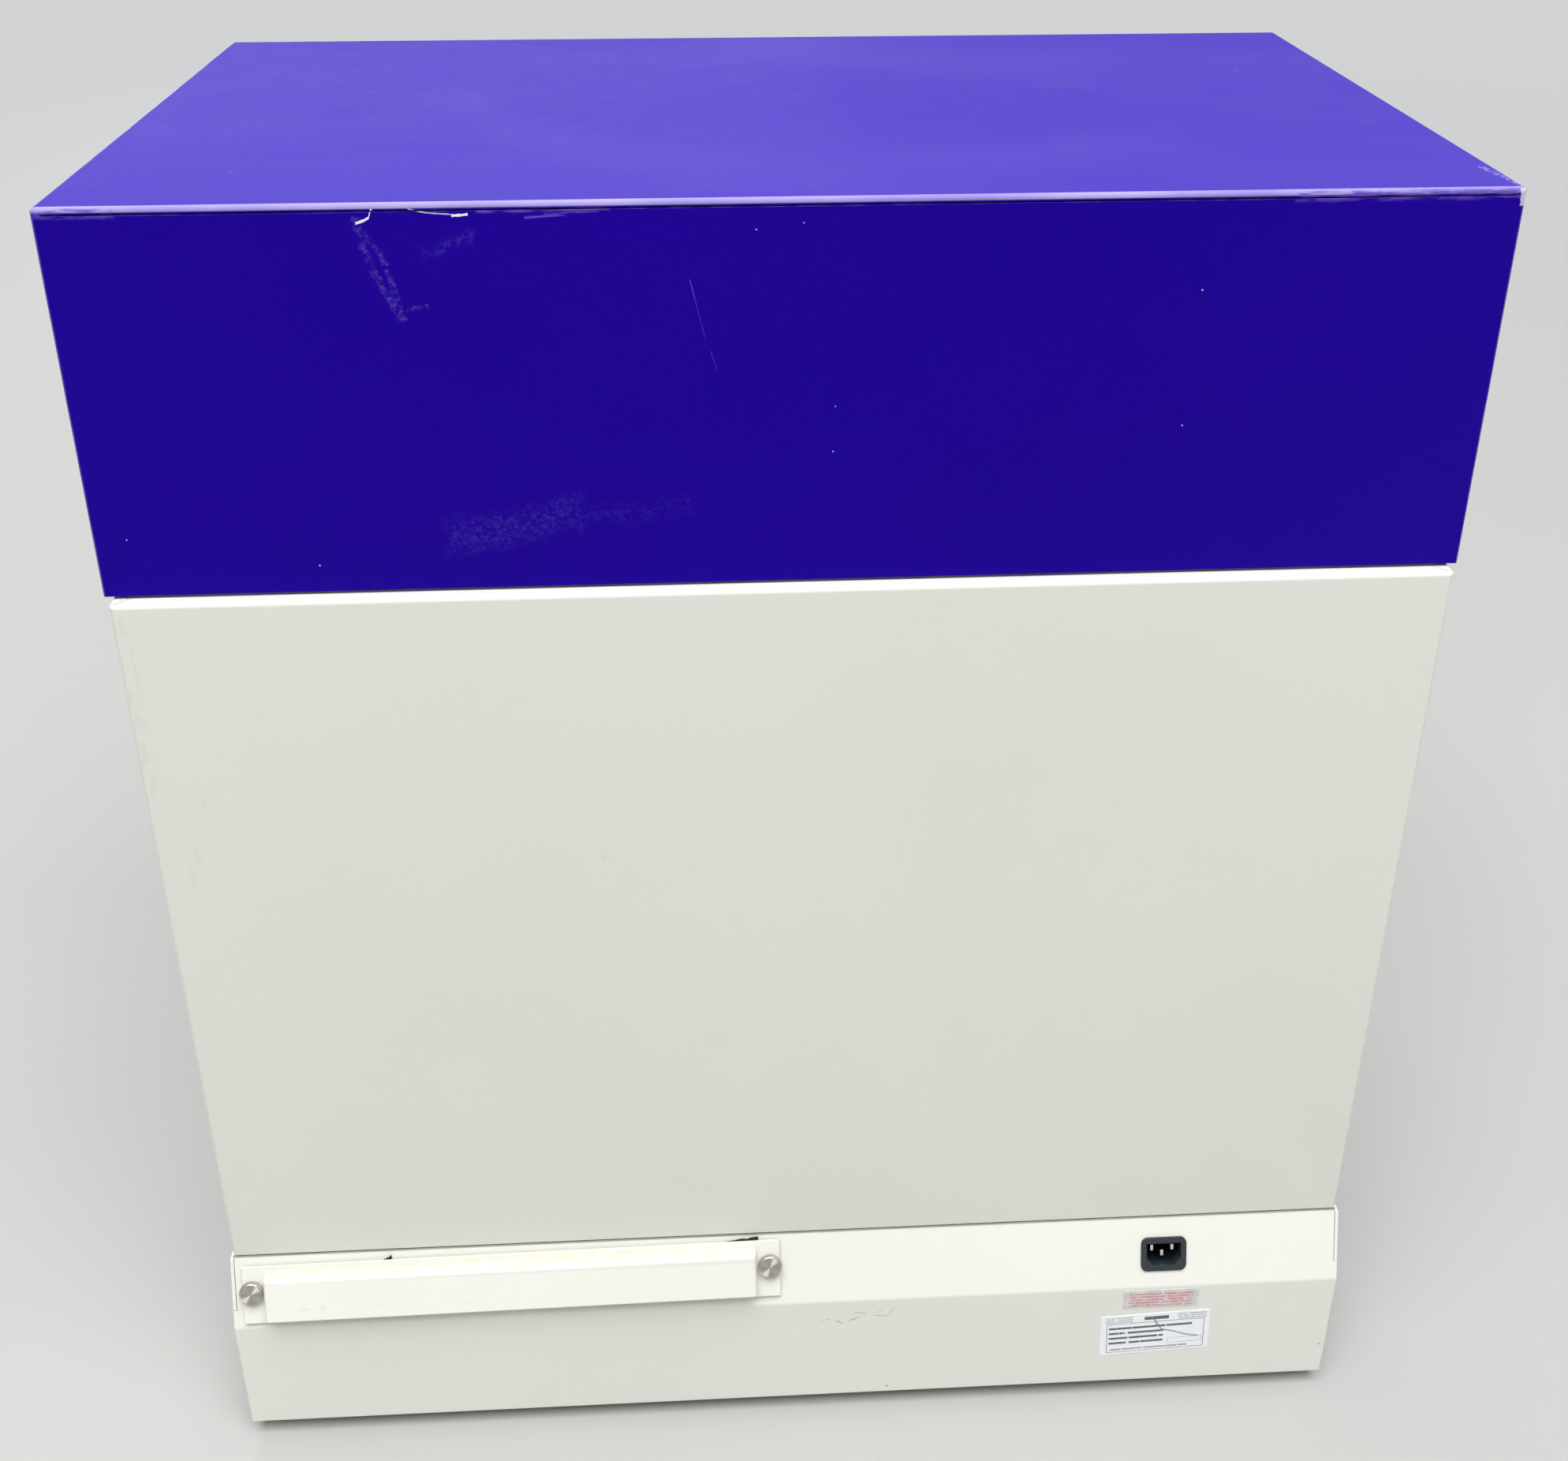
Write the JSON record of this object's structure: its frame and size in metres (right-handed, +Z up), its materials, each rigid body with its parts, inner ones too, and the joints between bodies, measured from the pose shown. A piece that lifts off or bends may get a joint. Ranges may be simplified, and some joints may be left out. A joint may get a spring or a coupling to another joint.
{
  "type": "bench-top clean-air cabinet",
  "caption": "Bench-top clean-air cabinet with ultraviolet lamps: violet hood, white rear duct panel, folding clear front door, and a base with blower, intake cover and mains inlet.",
  "frame": {"origin": "bottom centre of the footprint, on the plane of the rubber feet", "axes": "+X right seen from the front, -Y towards the folding door, +Y towards the rear intake and mains inlet, +Z up"},
  "size_m": [0.75, 0.5664, 0.862],
  "materials": {
    "white_paint": "satin powder coat",
    "violet_paint": "fine-textured powder coat",
    "white_plastic": "satin",
    "clear_acrylic": "clear",
    "stainless": "brushed",
    "zinc_steel": "bright zinc",
    "turned_steel": "turned",
    "aluminium_sheet": "bright",
    "black_plastic": "moulded",
    "grey_plastic": "moulded",
    "blue_plastic": "moulded",
    "dark_rubber": "matt",
    "grey_gasket": "matt foam",
    "filter_foam": "open-cell foam",
    "filter_paper": "pleated paper",
    "filter_wood": "plain board",
    "lamp_glass": "clear",
    "lamp_white": "coated",
    "label_film": "printed film",
    "overlay_film": "printed film"
  },
  "bodies": {
    "cabinet": {"base_floor": "white_paint", "base_shell": "white_paint", "base_rear_cover": "white_paint", "base_front_cover": "white_paint", "rubber_feet": "dark_rubber", "foot_screws": "zinc_steel", "work_surface": "stainless", "rear_panel": "white_paint", "rear_liner": "white_paint", "side_frame_left": "white_plastic", "side_frame_right": "white_plastic", "side_windows": "clear_acrylic", "window_gaskets": "dark_rubber", "hood_shell": "violet_paint", "hood_lid": "violet_paint", "hood_gasket": "grey_gasket", "filter_deck": "zinc_steel", "hepa_frame": "filter_wood", "hepa_media": "filter_paper", "hepa_gasket": "dark_rubber", "filter_clamps": "zinc_steel", "diffuser_grille": "white_paint", "lamp_reflectors": "aluminium_sheet", "uv_tubes": "lamp_glass", "white_tube": "lamp_white", "lamp_end_caps": "aluminium_sheet", "lamp_holders": "white_plastic", "lamp_ballasts": "zinc_steel", "blower_housing": "black_plastic", "blower_inlet_ring": "grey_plastic", "blower_motor": "zinc_steel", "blower_mounts": "dark_rubber", "riser_boot": "zinc_steel", "power_inlet": "black_plastic", "control_overlay": "overlay_film", "switch_bezels": "black_plastic", "timer_body": "grey_plastic", "speed_control": "grey_plastic", "door_header": "white_paint", "header_hinge_leaves": "stainless", "header_hinge_pins": "stainless", "interlock_switch": "black_plastic", "rear_labels": "label_film"},
    "upper_door": {"door_upper_pane": "clear_acrylic", "upper_pane_hinge_leaves": "stainless", "fold_hinge_pins": "stainless"},
    "lower_door": {"door_lower_pane": "clear_acrylic", "lower_pane_hinge_leaves": "stainless", "door_handle": "stainless"},
    "interlock": {"interlock_plunger": "white_plastic"},
    "light_rocker": {"light_switch": "grey_plastic"},
    "uv_rocker": {"uv_switch": "blue_plastic"},
    "timer_dial": {"timer_knob": "black_plastic"},
    "speed_dial": {"speed_knob": "black_plastic"},
    "impeller": {"blower_impeller": "black_plastic"},
    "intake_cover": {"prefilter_cover": "white_paint", "prefilter_foam": "filter_foam", "prefilter_gasket": "filter_foam"},
    "left_screw": {"thumb_screw_left": "turned_steel"},
    "right_screw": {"thumb_screw_right": "turned_steel"}
  },
  "joints": [
    {"name": "upper_door_hinge", "type": "hinge", "parent": "cabinet", "child": "upper_door", "pos_m": [0, -0.17942, 0.61387], "axis": [-1, 0, 0], "range_deg": [0, 95]},
    {"name": "lower_door_hinge", "type": "hinge", "parent": "upper_door", "child": "lower_door", "pos_m": [0, -0.20877, 0.36912], "axis": [-1, 0, 0], "range_deg": [0, 170]},
    {"name": "interlock_slide", "type": "slide", "parent": "cabinet", "child": "interlock", "axis": [0, -0.9929, 0.1191], "range_m": [0, 0.003]},
    {"name": "light_switch_rock", "type": "hinge", "parent": "cabinet", "child": "light_rocker", "pos_m": [0.085, -0.25384, 0.12855], "axis": [-1, 0, 0], "range_deg": [0, 14]},
    {"name": "uv_switch_rock", "type": "hinge", "parent": "cabinet", "child": "uv_rocker", "pos_m": [0.135, -0.25384, 0.12855], "axis": [-1, 0, 0], "range_deg": [0, 14]},
    {"name": "timer_turn", "type": "hinge", "parent": "cabinet", "child": "timer_dial", "pos_m": [0.21, -0.255, 0.1295], "axis": [0, 0.7747, -0.6324], "range_deg": [0, 300]},
    {"name": "speed_turn", "type": "hinge", "parent": "cabinet", "child": "speed_dial", "pos_m": [0.29, -0.255, 0.1295], "axis": [0, 0.7747, -0.6324], "range_deg": [0, 300]},
    {"name": "impeller_spin", "type": "hinge", "parent": "cabinet", "child": "impeller", "pos_m": [-0.04, 0.02, 0.06], "axis": [0, 0, -1], "continuous": true},
    {"name": "intake_cover_off", "type": "slide", "parent": "cabinet", "child": "intake_cover", "axis": [0, 0.9506, 0.3104], "range_m": [0, 0.08]},
    {"name": "left_screw_turn", "type": "hinge", "parent": "intake_cover", "child": "left_screw", "pos_m": [0.01599, 0.26524, 0.13489], "axis": [0, 0.9506, 0.3104], "continuous": true},
    {"name": "right_screw_turn", "type": "hinge", "parent": "intake_cover", "child": "right_screw", "pos_m": [0.35847, 0.26617, 0.13205], "axis": [0, 0.9506, 0.3104], "continuous": true}
  ],
  "couplings": [
    {"joint": "interlock_slide", "follows": "upper_door_hinge", "m_per_rad": 0.0018}
  ]
}
